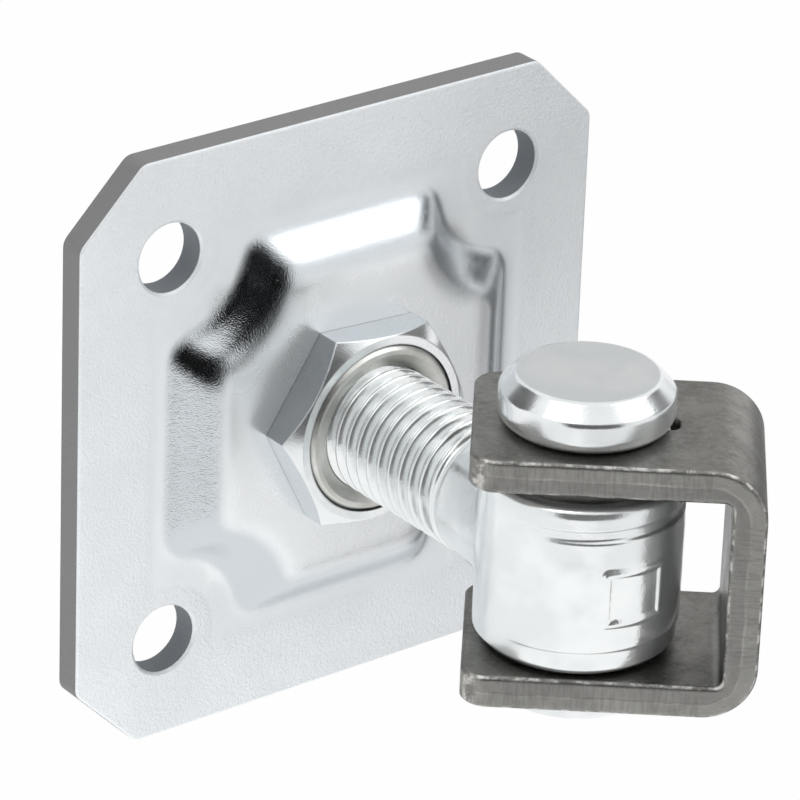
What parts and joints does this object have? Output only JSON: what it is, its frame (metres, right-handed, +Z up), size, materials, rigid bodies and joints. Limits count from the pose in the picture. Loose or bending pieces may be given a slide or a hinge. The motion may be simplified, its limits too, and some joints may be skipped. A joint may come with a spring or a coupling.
{
  "type": "adjustable gate hinge",
  "caption": "Adjustable gate hinge: pressed wall plate with captive nut, threaded eyebolt and a U-shaped weld-on bracket that turns on an upright pin.",
  "frame": {"origin": "centre of the four bolt holes, on the wall plate's back face", "axes": "+Y into the wall along the stud, +Z up along the hinge pin, +X along the wall"},
  "size_m": [0.095, 0.0905, 0.095],
  "materials": {
    "zinc_sheet": "bright zinc plating on pressed steel sheet",
    "zinc_turned": "bright zinc plating on turned steel",
    "zinc_forged": "bright zinc plating on forged steel",
    "cream_ring": "smooth cream ring",
    "spring_steel": "blackened spring steel",
    "bush": "dark bearing liner",
    "dark_washer": "dark oiled steel",
    "raw_steel": "raw rolled steel, ready for welding"
  },
  "bodies": {
    "wall_side": {"wall_plate": "zinc_sheet"},
    "adjuster": {"adjusting_nut": "zinc_turned", "nut_ring": "cream_ring", "nut_washer": "zinc_turned", "nut_circlip": "spring_steel"},
    "eyebolt_side": {"eyebolt": "zinc_forged", "upper_bush": "bush", "lower_bush": "bush", "thrust_washer": "dark_washer"},
    "gate_side": {"gate_bracket": "raw_steel", "hinge_pin": "zinc_forged", "retaining_disc": "zinc_turned"}
  },
  "joints": [
    {"name": "nut_turn", "type": "hinge", "parent": "wall_side", "child": "adjuster", "pos_m": [0, -0.0098, 0], "axis": [0, 1, 0], "range_deg": [-2160, 720]},
    {"name": "stud_slide", "type": "slide", "parent": "wall_side", "child": "eyebolt_side", "axis": [0, -1, 0], "range_m": [-0.015, 0.005]},
    {"name": "gate_swing", "type": "hinge", "parent": "eyebolt_side", "child": "gate_side", "pos_m": [0, -0.0624, 0], "axis": [0, 0, 1], "range_deg": [-168, 68]}
  ],
  "couplings": [
    {"joint": "nut_turn", "follows": "stud_slide", "rad_per_m": 2513.3}
  ]
}
